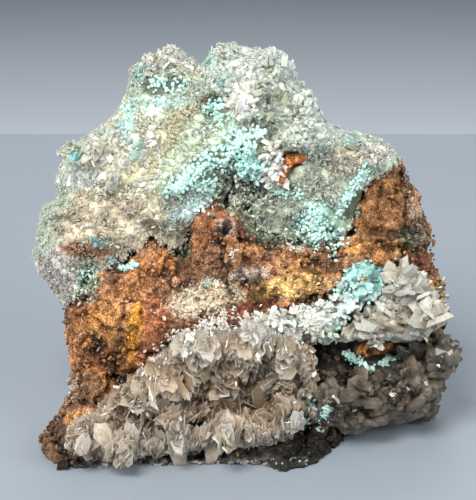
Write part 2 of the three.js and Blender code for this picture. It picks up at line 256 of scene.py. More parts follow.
# places spread over a node's open skin, with the way the skin faces there
def openSpots(node, count, chance, clearance=2.5):
    corners, triangles = solids[node]
    a, b, c = corners[triangles].transpose(1, 0, 2)
    across = np.cross(b - a, c - a)
    size = np.linalg.norm(across, axis=1)
    pick = chance.choice(len(triangles), count, p=size / size.sum())
    one = np.sqrt(chance.random(count))[:, None]
    two = chance.random(count)[:, None]
    places = (1 - one) * a[pick] + one * (1 - two) * b[pick] + one * two * c[pick]
    facing = across[pick] / size[pick, None]
    others = [trees[other] for other in trees if other != node]
    clear = [
        all(tree.ray_cast(spot + 0.05 * way, way, clearance)[0] is None for tree in others)
        for spot, way in zip(places, facing)
    ]
    clear &= toWorld(places)[:, 2] > 1.5 * millimetre
    return places[clear], facing[clear]


# where a line from the viewer through a place on the face first meets the dressed specimen
def landings(across, up):
    places, facing = [], []
    for x, z in zip(across, up):
        hits = [tree.ray_cast((x, skyHeight, z), (0, 1, 0)) for tree in dressed.values()]
        hits = [hit for hit in hits if hit[0] is not None]
        if hits:
            nearest = min(hits, key=lambda hit: hit[3])
            places.append(nearest[0])
            facing.append(nearest[1])
    return np.array(places).reshape(-1, 3), np.array(facing).reshape(-1, 3)


# one crystal's outline, (across, along), anticlockwise from its root
outlines = {
    "chisel": [(-0.3, 0), (0.3, 0), (0.5, 0.66), (0.14, 1), (-0.5, 0.74)],
    "plate": [(-0.22, 0), (0.28, 0), (0.5, 0.62), (0.3, 0.94), (0.1, 0.9), (-0.16, 1), (-0.5, 0.7)],
    "stout": [(-0.42, 0), (0.42, 0), (0.5, 0.6), (0.2, 1), (-0.24, 0.95), (-0.5, 0.52)],
}


# crystals as arrays, each outline a little different: two layers, or with a rim three, the outer ones set in
def crystals(outline, roots, along, facing, length, width, thickness, chance, inset=0.8, rim=False):
    count, sides = len(roots), len(outlines[outline])
    flat = np.array(outlines[outline]) + chance.normal(0, 0.075, (count, sides, 2))
    middle = np.array([0, 0.5])
    inner = (flat - middle) * inset + middle
    side = unit(np.cross(along, facing))
    front = np.cross(side, along)
    if rim:
        layers = [(inner, -0.5), (flat, 0), (inner, 0.5)]
    else:
        layers = [(flat, -0.5), (inner, 0.5)]
    rings = [
        roots[:, None]
        + side[:, None] * (shape[..., 0] * width[:, None])[..., None]
        + along[:, None] * (shape[..., 1] * length[:, None])[..., None]
        + front[:, None] * (lift * thickness)[:, None, None]
        for shape, lift in layers
    ]
    places = np.stack(rings, 1).reshape(-1, 3)
    each = sides * len(layers)
    start = each * np.arange(count)[:, None]
    ring = np.arange(sides)
    after = np.roll(ring, -1)
    faces = [ring[::-1] + start, ring + sides * (len(layers) - 1) + start]
    for layer in range(len(layers) - 1):
        quads = np.stack([ring, after, after + sides, ring + sides], 1) + sides * layer
        faces.append((quads[None] + start[..., None]).reshape(-1, 4))
    marks = [np.concatenate([shape, np.full((count, sides, 1), 2 * abs(lift))], -1) for shape, lift in layers]
    marks = np.concatenate(marks, 1)
    marks[..., 1] = np.clip(marks[..., 1], 0, 1)
    return places, faces, marks


# directions for fans of blades: each fan leans its own way and its blades splay in one plane
def fans(facing, each, lean, splay, chance):
    axis = unit(facing + chance.normal(0, lean, facing.shape))
    spread = unit(np.cross(axis, chance.normal(0, 1, facing.shape)))
    turn = np.linspace(-splay, splay, each)[None] + chance.normal(0, splay / each, (len(axis), each))
    along = axis[:, None] * np.cos(turn)[..., None] + spread[:, None] * np.sin(turn)[..., None]
    plane = np.cross(axis, spread)[:, None] + chance.normal(0, 0.25, along.shape)
    return unit(along.reshape(-1, 3)), unit(plane.reshape(-1, 3))


# directions for crystals that lie on the skin and show their broad side
def shingles(facing, rise, wander, chance):
    tangent = unit(np.cross(facing, chance.normal(0, 1, facing.shape)))
    lift = chance.uniform(*rise, (len(facing), 1))
    return unit(tangent + lift * facing), unit(facing + chance.normal(0, wander, facing.shape))


# colours each crystal from its root's place: darker towards the root as painted shade where the crystals
# crowd, pale at the tip, each a little different
def shadeCrystals(marks, rootTints, chance, look):
    along = marks[..., 1:2]
    own = 1 + chance.normal(0, look["vary"], (len(marks), 1, 1))
    tip = np.array(tints[look["tip"]])
    colours = rootTints[:, None] * own * (look["root"] + (1 - look["root"]) * along ** 0.7)
    colours = colours + (tip - colours) * look["tipShare"] * along ** 3
    # pale rims on the plates' edges: partly their own pale edges, partly painted highlight
    if "rimShare" in look:
        edge = (1 - marks[..., 2:3]) * np.clip(along * 3, 0, 1)
        colours = colours + (np.array(tints[look["rim"]]) - colours) * look["rimShare"] * edge
    lucky = chance.random((len(marks), 1, 1))
    return colours.reshape(-1, 3), np.concatenate([marks[..., :2], lucky + 0 * along], -1).reshape(-1, 3)


def noiseNode(tree, coordinates, scale, detail=2):
    noise = tree.nodes.new("ShaderNodeTexNoise")
    noise.inputs["Scale"].default_value = scale
    noise.inputs["Detail"].default_value = detail
    tree.links.new(coordinates, noise.inputs["Vector"])
    return noise.outputs["Fac"]


# the colour made darker or lighter by a noise, whose span goes from low to high
def shaded(tree, colour, noise, span, low, high):
    shade = tree.nodes.new("ShaderNodeMapRange")
    shade.inputs["From Min"].default_value = span[0]
    shade.inputs["From Max"].default_value = span[1]
    shade.inputs["To Min"].default_value = low
    shade.inputs["To Max"].default_value = high
    tree.links.new(noise, shade.inputs["Value"])
    mixed = tree.nodes.new("ShaderNodeMix")
    mixed.data_type = "RGBA"
    mixed.blend_type = "MULTIPLY"
    mixed.inputs["Factor"].default_value = 1
    tree.links.new(colour, mixed.inputs["A"])
    tree.links.new(shade.outputs["Result"], mixed.inputs["B"])
    return mixed.outputs["Result"]


# a mineral's material: the painted tint, mottled by grains, with bump and a gloss of its own
def mineral(name, look):
    material = bpy.data.materials.new(name)
    material.use_nodes = True
    tree = material.node_tree
    nodes, links = tree.nodes, tree.links
    shader = nodes["Principled BSDF"]
    painted = nodes.new("ShaderNodeAttribute")
    painted.attribute_name = "tint"
    where = nodes.new("ShaderNodeTexCoord").outputs["Object"]
    colour = painted.outputs["Color"]
    for grain, low, high in look["mottle"]:
        speckle = noiseNode(tree, where, 1 / (grain * millimetre), 3)
        colour = shaded(tree, colour, speckle, (0.36, 0.64), low, high)
    if "streaks" in look:        # fine lines along each blade
        mark = nodes.new("ShaderNodeAttribute")
        mark.attribute_name = "bladeMark"
        stretch = nodes.new("ShaderNodeMapping")
        stretch.inputs["Scale"].default_value = (9, 0.8, 60)
        links.new(mark.outputs["Vector"], stretch.inputs["Vector"])
        lines = noiseNode(tree, stretch.outputs["Vector"], 1)
        colour = shaded(tree, colour, lines, (0, 1), *look["streaks"])
    links.new(colour, shader.inputs["Base Color"])
    if "bump" in look:
        grain, height = look["bump"]
        rough = noiseNode(tree, where, 1 / (grain * millimetre), 4)
        bump = nodes.new("ShaderNodeBump")
        bump.inputs["Strength"].default_value = 0.8
        bump.inputs["Distance"].default_value = height * millimetre
        links.new(rough, bump.inputs["Height"])
        links.new(bump.outputs["Normal"], shader.inputs["Normal"])
    shader.inputs["Roughness"].default_value = look["roughness"]
    shader.inputs["IOR"].default_value = look.get("ior", 1.5)
    shader.inputs["Specular IOR Level"].default_value = look.get("sheen", 0.5)
    shader.inputs["Transmission Weight"].default_value = look.get("transmission", 0)
    if "glow" in look:        # light that scatters inside, and how far it goes in mm
        shader.inputs["Subsurface Weight"].default_value = look["glow"][0]
        shader.inputs["Subsurface Radius"].default_value = (1, 0.9, 0.75)
        shader.inputs["Subsurface Scale"].default_value = look["glow"][1] * millimetre
    if "absorb" in look:
        body = nodes.new("ShaderNodeVolumeAbsorption")
        body.inputs["Color"].default_value = (*look["absorb"], 1)
        body.inputs["Density"].default_value = look["density"]
        links.new(body.outputs["Volume"], nodes["Material Output"].inputs["Volume"])
    return material


# the rusty rock
rockLook = {
    "voxel": 0.62,
    "lumps": [("CLOUDS", 8, 3.4), ("VORONOI", 2.6, -1.5), ("CLOUDS", 1.5, 1.3)],
    "cracks": [(9, 1.6), (5, 1.0)],
    "pits": [
        area("black", (26.5, 61.4), (1.6, 1), depth=6), area("black", (-16.6, 59), (2.2, 4), depth=3),
        area("purpleBrown", (-7, 62.4), (6, 4.6), depth=-1.6),
        area("black", (-5, 62.5), (1.2, 1.4), depth=3),
        area("orange", (27.5, 57), (4.5, 1.4), 5, depth=-1.4),
        area("rust", (35, 66), (6, 5), depth=-1.6), area("rust", (34, 57), (5, 4), depth=-1.4),
        area("black", (36, 61), (6, 1), -10, depth=1.6), area("rust", (-14, 64), (2, 2), depth=-1),
        area("purpleBrown", (-25, 36), (5, 9), -8, depth=-1.6),
        area("rust", (-37, 36), (4, 6), depth=-1.2),
        area("black", (-31.5, 33), (1.2, 9), -8, depth=1.4),
    ],
    "base": "brown",
    "areas": [
        area("rust", (-37, 32), (12, 16)), area("darkBrown", (-41, 22), (5, 6), amount=0.6),
        area("orange", (-36, 38), (5, 5), amount=0.7), area("darkBrown", (-31, 30), (3, 7), amount=0.5),
        area("purpleBrown", (-24, 36), (4.4, 9.5), -8), area("amber", (-28, 36.5), (2, 9.5), -8),
        area("darkGreen", (-40.5, 50), (3, 6), amount=0.9),
        area("teal", (-41.5, 50), (1.6, 4), amount=0.5),
        area("rust", (-26, 50), (12, 4), 36), area("orange", (-20, 54), (6, 2), 50, amount=0.6),
        area("darkGreen", (-16.8, 59), (3, 5)), area("purpleBrown", (-5.5, 63), (6, 5), amount=0.7),
        area("rust", (-12, 60), (3, 4), amount=0.7), area("greyBrown", (-5, 62), (2.5, 2), amount=0.8),
        area("rust", (10, 54), (16, 5), -12, amount=0.6),
        area("greyBrown", (1, 50.5), (6, 2.2), 8, amount=0.8),
        area("ochre", (11, 47), (10, 3.6), 12), area("orange", (16, 52), (6, 2), -5, amount=0.6),
        area("brownGrey", (-10.5, 43.5), (10, 4.4), 8, amount=0.75),
        area("redBrown", (-4, 39.5), (16, 2.6), 17),
        # dark green under the arch's overhang: partly the recess's own colour, partly painted shade
        area("rust", (8, 42), (5, 2), 14, amount=0.8), area("darkGreen", (13, 66), (16, 9), amount=0.9),
        area("orange", (27.5, 57.3), (4.5, 1.7), 5), area("umber", (36, 64), (10, 15), 12, amount=0.85),
        area("darkBrown", (43, 58), (3.5, 8), 10, amount=0.45),
        area("orange", (37, 57), (5, 4), amount=0.4),
        area("darkGreen", (27, 69), (2.5, 6), -20), area("redBrown", (46, 53), (3, 4), amount=0.7),
        # the black in the slot under the ledge is painted shade
        area("ochre", (48, 42), (2.8, 6), -10, reach=45), area("black", (30, 32), (15, 5), 4, reach=50),
        area("darkBrown", (-47, 8), (7, 8), amount=0.75), area("orange", (-42, 14), (4, 2), amount=0.6),
        # the black line along the base is painted shade under the crust's lower edge
        area("slate", (-12, 2), (40, 4.5), 3), area("black", (-10, 5), (34, 1.2), 3, amount=0.8),
        # the dark green recess under the arch is partly its own colour, partly painted shade; the black line
        # at its lower edge is painted shade
        area("darkGreen", (-1, 73), (9, 5.5)), area("black", (-4, 68.6), (7, 0.9), -10, amount=0.7),
        # painted shade: black along the crack on the right lump
        area("black", (36, 61), (6, 1.2), -10, amount=0.6),
        area("darkGreen", (42, 60), (3, 2), amount=0.7),
        area("darkGreen", (40, 52), (2, 4), 20, amount=0.7),
        area("greyBrown", (44, 67), (2.6, 9), 14, amount=0.5),
        # painted shade: the lower right toe is dark brown and black
        area("darkGreen", (10.5, 2), (3, 3)), area("darkBrown", (21, 6), (6, 4), amount=0.8),
        area("orange", (34, 31.6), (6, 2), 4, reach=50), area("black", (18, 6), (16, 6), amount=0.96),
        # more painted shade in the slot: black
        area("black", (23, 26), (6, 6), reach=60, amount=0.9),
        area("umber", (33, 73), (7, 6), amount=0.9),
    ],
}
rock, places, height = roughCopy("limonite_matrix", "limoniteRock", rockLook)
colours = paint(places, rockLook)
# painted shade and light: darker in the hollows and lighter on the lumps by their height, with random tone
colours *= np.clip(1.12 + 0.34 * height + 0.3 * noiseAt(places, 2.2, 3), 0.15, 2)[:, None]
fine = noiseAt(places, 0.9, 31)[:, None] * (0.2, 0.3, 0.34)
broad = noiseAt(places, 6, 32)[:, None] * (0.12, 0.2, 0.24)
stainAndShade(rock.data, colours * (1 + (fine + broad)))
remember(rock, "limonite_matrix")
rockMaterial = mineral("earthyLimonite", {
    "mottle": [(1.3, 0.5, 1.45), (0.4, 0.35, 1.65)], "bump": (0.5, 0.6), "roughness": 0.85, "sheen": 0.25,
})
settle(rock, rockMaterial, "limonite_matrix")

# loose-looking grains that crowd the rust
grainLook = {
    "count": 9000, "size": (0.2, 0.52), "seed": 11,
    "odd": [("darkBrown", 0.22), ("orange", 0.14), ("greyBrown", 0.1), ("black", 0.06)],
}
chance = np.random.default_rng(grainLook["seed"])
bpy.ops.mesh.primitive_ico_sphere_add(subdivisions=1, radius=1)
seedGrain = bpy.context.object
grainCorners = np.array([corner.co for corner in seedGrain.data.vertices])
grainFaces = np.array([face.vertices for face in seedGrain.data.polygons])
bpy.data.objects.remove(seedGrain)


# copies of one small round form, each uneven in its own way, with its middle raised off the skin by a
# share of its size
def pebbles(corners, faces, places, facing, size, raised, chance, uneven=0.25):
    count = len(places)
    shape = corners[None] * (1 + chance.normal(0, uneven, (count, 1, 3)))
    shape = shape * (1 + chance.normal(0, uneven / 2, (count, len(corners), 1)))
    middle = places + facing * (size * raised)[:, None]
    cloud = middle[:, None] + shape * size[:, None, None]
    start = len(corners) * np.arange(count)[:, None, None]
    return cloud.reshape(-1, 3), [(faces[None] + start).reshape(-1, faces.shape[1])]


spots, ways = openSpots("limonite_matrix", grainLook["count"], chance, 1.5)
size = chance.uniform(*grainLook["size"], len(spots)) * (1 + (chance.random(len(spots)) > 0.9))
cloud, faces = pebbles(grainCorners, grainFaces, spots, ways, size, 0.1, chance)
own = np.clip(1 + 0.35 * noiseAt(spots, 1.2, 5) + chance.normal(0, 0.25, len(spots)), 0.3, 1.9)
colours = paint(spots, rockLook)
for tint, share in grainLook["odd"]:        # some grains are of another colour
    odd = chance.random(len(spots)) < share
    dim = np.clip(colours[odd].mean(1, keepdims=True) / 0.15, 0.1, 1)
    colours[odd] += 0.7 * (np.array(tints[tint]) * dim - colours[odd])
colours = np.repeat(colours * own[:, None], len(grainCorners), 0)
grains = arrayPiece("limoniteGrains", cloud, faces, colours)
settle(grains, rockMaterial)

# the pale crystals over the top and the left
upperLook = {
    "voxel": 0.8, "sink": 0.5,
    "lumps": [("CLOUDS", 5, 2.2), ("VORONOI", 2.4, -1.4), ("CLOUDS", 1.2, 0.7)],
    "pits": [area("black", (21.3, 61.3), (1.4, 1.2), depth=4)],
    "base": "mint",
    "areas": [
        area("mintWhite", (3, 103), (13, 7)), area("cream", (-21, 104), (9, 5)),
        area("pinkBeige", (-22, 106), (5, 3), amount=0.6), area("teal", (-26.8, 101.8), (2, 2)),
        area("greyGreen", (7, 95), (6, 4)), area("mintWhite", (17, 90), (9, 9), -40),
        area("yellow", (8.6, 95.4), (2, 1.4), amount=0.6),
        area("teal", (-9.4, 105.2), (2.4, 2.2), 45, amount=0.8),
        area("teal", (-6.4, 99.4), (1.8, 1.8)), area("white", (-1, 93), (3, 3.4)),
        area("cream", (-32, 80), (14, 11)), area("gold", (-22, 83), (15, 3), 50, amount=0.9),
        area("beige", (-32, 61), (17, 12)), area("cream", (-22, 72), (7, 6), amount=0.5),
        area("greyGreen", (-17, 68), (4, 8), -20, amount=0.8),
        area("mint", (-17, 76), (5, 6), amount=0.8),
        area("teal", (-27.5, 82), (2.4, 3.4), amount=0.75), area("teal", (-31, 88), (2.6, 3), amount=0.6),
        area("turquoise", (-43, 80), (1.8, 2.2)), area("turquoise", (-36, 86.6), (0.8, 0.8)),
        area("mintWhite", (-42.5, 75), (5, 3.2)), area("brownGrey", (-29, 56.5), (6, 3.4), amount=0.8),
        area("pinkBeige", (-48, 50), (6, 8)), area("darkGreen", (-39.5, 48.5), (3, 6)),
        area("teal", (-38, 44), (3, 3), amount=0.5), area("rust", (-40, 56.5), (5.5, 1.9), -10),
        area("paleTurquoise", (-31.5, 53), (4, 1.2), -20), area("turquoise", (-37, 58.6), (2, 0.9), -25),
        area("darkGreen", (-21, 98.5), (7, 3)),
        area("paleTurquoise", (-20, 94.3), (6, 1.6), 5, amount=0.6),
        area("darkGreen", (-7.5, 92.5), (3.6, 3.8)), area("rust", (-10.6, 95), (1.6, 1.4), amount=0.8),
        # the dark green of the recess under the arch is partly its own colour, partly painted shade
        area("darkGreen", (-6, 79.5), (16, 4.2), 33, amount=0.95),
        area("turquoise", (1.4, 77.8), (3.2, 2.4)),
        area("paleTurquoise", (-11.8, 69.8), (4, 3), 25),
        area("turquoise", (-11, 71), (2, 1.6), 25, amount=0.8),
        # the dark green here is partly the recess's own colour, partly painted shade
        area("paleTurquoise", (-15.5, 65.8), (3.6, 2)), area("darkGreen", (-1.5, 71), (6, 5)),
        area("white", (7.2, 78), (1.8, 4.2)), area("greyGreen", (24, 76), (9, 6)),
        area("greyGreen", (14, 74), (4, 5)),
        area("brownGrey", (25.5, 79), (5, 4), amount=0.7), area("olive", (9, 66), (8, 5)),
        area("darkGreen", (9, 65.5), (6, 4), amount=0.6),
        area("darkGreen", (8, 71), (6, 2), amount=0.7), area("darkGreen", (19, 64), (7, 5), amount=0.6),
        area("teal", (19, 64), (7, 5), amount=0.4),
        area("darkGreen", (16, 60), (5, 3), amount=0.5),
        area("teal", (27, 72.5), (7, 1.6), 55, amount=0.7),
        area("darkGreen", (27.5, 68.5), (2.2, 5), -20), area("pinkBeige", (32.5, 81.5), (4, 2.4)),
        area("teal", (27, 84.6), (2.4, 1.6), amount=0.7),
        area("white", (11, 57.5), (3, 1), -20, amount=0.8),
    ],
}
upper, places, height = roughCopy("upper_hemimorphite", "upperCrust", upperLook)
colours = paint(places, upperLook)
# painted shade and light: darker in the hollows and lighter on the lumps by their height, with random tone
colours *= np.clip(0.95 + 0.12 * height + 0.12 * noiseAt(places, 1.6, 8), 0.4, 1.2)[:, None]
stainAndShade(upper.data, colours)
remember(upper, "upper_hemimorphite")
paleMaterial = mineral("paleHemimorphite", {
    "mottle": [(1.5, 0.88, 1.08)], "streaks": (0.86, 1.1), "roughness": 0.16, "ior": 1.61,
    "transmission": 0.15, "glow": (0.8, 2.5),
})
crustMaterial = mineral("crystalRoots", {
    "mottle": [(1.2, 0.8, 1.15), (0.35, 0.75, 1.2)], "bump": (0.4, 0.35), "roughness": 0.4, "ior": 1.6,
    "glow": (0.3, 1.2),
})
settle(upper, crustMaterial, "upper_hemimorphite")

# crystals on it: fans that stand and broader ones that lie, coarse on the domes and finer between them
bladeLook = {
    "root": 0.85, "vary": 0.1, "tip": "white", "tipShare": 0.3,
    "coarse": [
        area("mint", (5, 100), (16, 9), reach=70), area("white", (-1, 93), (4, 4)),
        area("cream", (-32, 81), (10, 8)),
        area("mint", (-21, 105), (9, 3)), area("mint", (15, 90), (8, 6), -40),
        area("mintWhite", (-43, 75), (4, 3)),
    ],
    "bare": [
        area("darkGreen", (-21, 98.5), (7, 3)), area("darkGreen", (-7.5, 92.5), (3.6, 3.8)),
        area("darkGreen", (-6, 79.5), (16, 4), 33), area("darkGreen", (-1.5, 71), (6, 5)),
        area("teal", (19, 63.5), (6, 4)), area("turquoise", (27, 72.5), (7, 1.6), 55),
        area("teal", (-30, 90), (2, 5)),
        area("darkGreen", (27.5, 68.5), (2, 5), -20), area("darkGreen", (-39.5, 48.5), (2.6, 5)),
        area("rust", (-40, 56.5), (5, 1.7), -10), area("black", (21.3, 61.3), (1.6, 1.4)),
        area("rust", (12, 78.5), (4.5, 3.6)),
    ],
    "upperFans": {
        "count": 2600, "each": 3, "length": (1.8, 3.0), "width": (0.6, 1.4), "thickness": (0.2, 0.4),
        "rooted": 2.1, "lean": 0.7, "splay": 0.6, "seed": 23,
        "outline": "chisel", "onDomes": 0.1, "between": 1,
    },
    "upperBlades": {
        "count": 11000, "each": 1, "length": (1.6, 3.6), "width": (0.9, 2.2), "thickness": (0.4, 0.8),
        "rooted": 0.35, "rise": (0, 0.25), "wander": 0.4, "seed": 24,
        "outline": "chisel", "onDomes": 1, "between": 1,
    },
    "upperBlocks": {
        "count": 3000, "each": 1, "length": (1.8, 3.6), "width": (1.4, 2.8), "thickness": (0.8, 1.6),
        "rooted": 0.7, "rise": (0, 0.5), "wander": 0.5, "seed": 25,
        "outline": "stout", "onDomes": 1, "between": 0.06,
    },
    "upperFelt": {
        "count": 11500, "each": 1, "length": (1.6, 3.4), "width": (0.4, 1.1), "thickness": (0.15, 0.35),
        "rooted": 0.7, "rise": (0.1, 0.9), "wander": 0.8, "seed": 26,
        "outline": "chisel", "onDomes": 0.25, "between": 1,
    },
}
for name in ("upperFans", "upperBlades", "upperBlocks", "upperFelt"):
    look = bladeLook[name]
    each = look["each"]
    chance = np.random.default_rng(look["seed"])
    spots, ways = openSpots("upper_hemimorphite", look["count"], chance)
    bare = sum(within(spots, place, 60) for place in bladeLook["bare"])
    coarse = np.clip(sum(within(spots, place, 61) for place in bladeLook["coarse"]), 0, 1)
    share = look["between"] + (look["onDomes"] - look["between"]) * coarse
    kept = chance.random(len(spots)) < share * (1 - bare)
    spots, ways, coarse = spots[kept], ways[kept], coarse[kept]
    if "splay" in look:
        along, plane = fans(ways, each, look["lean"], look["splay"], chance)
    else:
        along, plane = shingles(ways, look["rise"], look["wander"], chance)
    fine = np.repeat(0.5 + 0.5 * coarse, each)
    rooted = look["rooted"] * (0.35 + 0.65 * coarse)
    roots = np.repeat(spots - rooted[:, None] * ways, each, 0) + chance.normal(0, 0.25, along.shape)
    length = chance.uniform(*look["length"], len(roots)) * fine
    if "rise" in look:        # lying ones are centred on their spots
        roots -= 0.45 * length[:, None] * along
    width = chance.uniform(*look["width"], len(roots)) * fine
    thickness = chance.uniform(*look["thickness"], len(roots)) * fine
    cloud, faces, marks = crystals(look["outline"], roots, along, plane, length, width, thickness, chance)
    colours, marks = shadeCrystals(marks, np.repeat(paint(spots, upperLook), each, 0), chance, bladeLook)
    settle(arrayPiece(name, cloud, faces, colours, marks), paleMaterial)

# the tan plates that line the hollow in the lower front
tanLook = {
    "voxel": 0.75, "sink": 1.2,
    "lumps": [("CLOUDS", 3.5, 2.0), ("CLOUDS", 1.2, 1.0)],
    "pits": [
        area("black", (3.5, 33.6), (1.8, 1.3), depth=5), area("black", (-5, 23), (2.6, 1.4), depth=4),
        area("black", (-13.5, 13.4), (4, 1.6), depth=5), area("black", (14.5, 16), (3, 4), depth=5),
    ],
    # the crust under the plates is deep tan, darker than the plates: painted shade in the gaps between them
    "base": "deepTan",
    "areas": [
        area("tan", (-30, 9), (14, 7)), area("white", (-9, 36.5), (14, 1.6), 12, amount=0.7),
        area("white", (5, 37), (7, 2), 5, amount=0.8),
        # painted shade: the deep pits in the hollow are black
        area("black", (3.5, 33.6), (1.8, 1.3)), area("black", (-5, 23), (2.6, 1.4)),
        area("black", (-13.5, 13.4), (4, 1.6)), area("black", (14.5, 16), (3, 4)),
        area("turquoise", (15.5, 14), (2, 2), amount=0.4),
    ],
}
tan, places, height = roughCopy("tan_hemimorphite", "tanCrust", tanLook)
colours = paint(places, tanLook)
# painted shade and light: darker in the hollows and lighter on the lumps by their height, with random tone
colours *= np.clip(1 + 0.2 * height + 0.2 * noiseAt(places, 1.6, 9), 0.3, 1.6)[:, None]
stainAndShade(tan.data, colours)
remember(tan, "tan_hemimorphite")
settle(tan, crustMaterial, "tan_hemimorphite")

plateLook = {
    "base": "tan",
    "areas": [
        area("paleTan", (-10, 34), (15, 3.4), 14), area("white", (-8, 36.6), (13, 1.3), 14, amount=0.8),
        area("white", (11, 37.5), (12, 3), 0, amount=0.9), area("paleTan", (-34, 8), (9, 6)),
        area("brownGrey", (-25, 20), (6, 5), amount=0.6), area("brownGrey", (8, 27), (8, 6), amount=0.7),
        area("paleTan", (-14, 7), (24, 4.5), 5), area("paleTan", (-12, 6.5), (26, 5), 6),
        area("orange", (2.5, 16), (2.4, 1.6), amount=0.35),
        # the deep tan band under the overhanging upper row and the deep tan cavity beside it are painted
        # shade
        area("deepTan", (-4, 20.5), (16, 4.5), 6, amount=0.75),
        area("white", (14, 13), (3, 2.4), amount=0.7),
        area("deepTan", (14.5, 20), (3, 6), amount=0.8),
    ],
    # the white rim is partly the plates' own pale edges, partly painted highlight
    "root": 0.5, "vary": 0.18, "tip": "paleTan", "tipShare": 0.45, "rim": "white", "rimShare": 0.45,
    "bare": [
        area("black", (3.5, 33.6), (1.8, 1.3)), area("black", (-5, 23), (2.8, 1.6)),
        area("black", (-13.5, 13.4), (4.2, 1.8)), area("black", (15, 16), (4, 5)),
        area("deepTan", (-4, 20.5), (14, 3), 6, amount=0.6), area("darkBrown", (-49, 8), (4, 8)),
    ],
    "tanPlates": {
        "count": 1500, "length": (3, 7.4), "width": (1.7, 5), "thickness": (0.16, 0.34), "rooted": 1.5,
        "rise": (0, 0.4), "wander": 0.3, "outline": "plate", "rim": True, "seed": 31,
    },
    "tanFlakes": {
        "count": 4200, "length": (1.6, 4), "width": (0.7, 2.4), "thickness": (0.14, 0.3), "rooted": 0.8,
        "rise": (0.1, 1), "wander": 0.6, "outline": "chisel", "rim": False, "seed": 32,
    },
    "broad": [        # the largest plates: where, the way they point across and up, length and width
        ((-5, 36), (0.1, -1), 11, 9.5), ((-13.6, 34.5), (-0.2, -1), 8, 7.5), ((8, 37.5), (0.2, -1), 7.5, 7),
        ((-17, 27), (0.7, -0.8), 8, 6), ((-24, 23), (0.5, -1), 8, 6.5), ((3.5, 17), (0.1, 1), 8.5, 5),
        ((-17, 3.5), (-0.15, 1), 10, 5.5), ((-25, 5.5), (-0.25, 1), 9.5, 5), ((-9, 4), (0.2, 1), 8, 5),
        ((-34, 7.5), (-0.4, 1), 8, 5), ((9, 30), (0.3, -1), 7, 5), ((-29, 17), (0.2, -1), 7, 5.5),
        ((5, 40), (0.1, -1), 6, 6), ((11, 39), (0.3, -1), 6, 5), ((1, 39), (-0.2, -1), 5, 5),
        ((15, 37.5), (0.2, -1), 6, 5), ((20, 37), (0.3, -1), 5, 4.5),
    ],
}
tanMaterial = mineral("tanHemimorphite", {
    "mottle": [(2.5, 0.8, 1.12), (0.6, 0.85, 1.12)], "streaks": (0.75, 1.15), "roughness": 0.16, "ior": 1.61,
    "transmission": 0.25, "glow": (0.65, 2.1),
})
for name in ("tanPlates", "tanFlakes"):
    look = plateLook[name]
    chance = np.random.default_rng(look["seed"])
    spots, ways = openSpots("tan_hemimorphite", look["count"], chance)
    bare = sum(within(spots, place, 70) * place.get("amount", 1) for place in plateLook["bare"])
    kept = chance.random(len(spots)) > 0.95 * bare
    spots, ways = spots[kept], ways[kept]
    # the upper row, 1, hangs and faces the viewer, and the lowest, -1, stands in pleats
    row = np.clip((spots[:, 2:] - 0.12 * spots[:, :1] - 20) / 6, -1, 1)
    hangs, stands = np.clip(row, 0, 1), np.clip(-row, 0, 1)
    along, plane = shingles(ways, look["rise"], look["wander"], chance)
    along = along * (1 - 0.6 * (hangs + stands)) + hangs * (0, -0.35, -1) + stands * (0, -0.25, 1)
    along = unit(along + chance.normal(0, 0.25, along.shape))
    aside = np.where(chance.random((len(plane), 1)) < 0.5, -1, 1) * (0.55, 0, 0)
    plane = (1 - hangs - stands) * (plane + chance.normal(0, 0.4, plane.shape)) + hangs * (0, -1, 0.45)
    plane = unit(plane + stands * (aside + (0, -0.8, 0.15)) + chance.normal(0, 0.4, plane.shape))
    sides = ("length", "width", "thickness")
    length, width, thickness = (chance.uniform(*look[side], len(spots)) for side in sides)
    roots = spots - look["rooted"] * ways - 0.3 * along * length[:, None]
    colours = paint(spots, plateLook)
    if name == "tanPlates":
        at, points, lengths, widths = zip(*plateLook["broad"])
        found = landings(*np.array(at).T)[0]
        points = np.array(points)
        broad = unit(np.column_stack([points[:, 0], np.full(len(points), -0.25), points[:, 1]]))
        roots = np.concatenate([roots, found - 0.12 * broad * np.array(lengths)[:, None] + (0, -0.6, 0)])
        along = np.concatenate([along, broad])
        plane = np.concatenate([plane, unit(chance.normal(0, 0.25, broad.shape) + (0, -1, 0))])
        length, width = np.concatenate([length, lengths]), np.concatenate([width, widths])
        thickness = np.concatenate([thickness, np.full(len(found), 0.5)])
        colours = np.concatenate([colours, 1.08 * paint(found, plateLook)])
    cloud, faces, marks = crystals(
        look["outline"], roots, along, plane, length, width, thickness, chance, 0.84, look["rim"]
    )
    shades = dict(plateLook, rimShare=plateLook["rimShare"] * look["rim"])
    colours, marks = shadeCrystals(marks, colours, chance, shades)
    settle(arrayPiece(name, cloud, faces, colours, marks), tanMaterial)

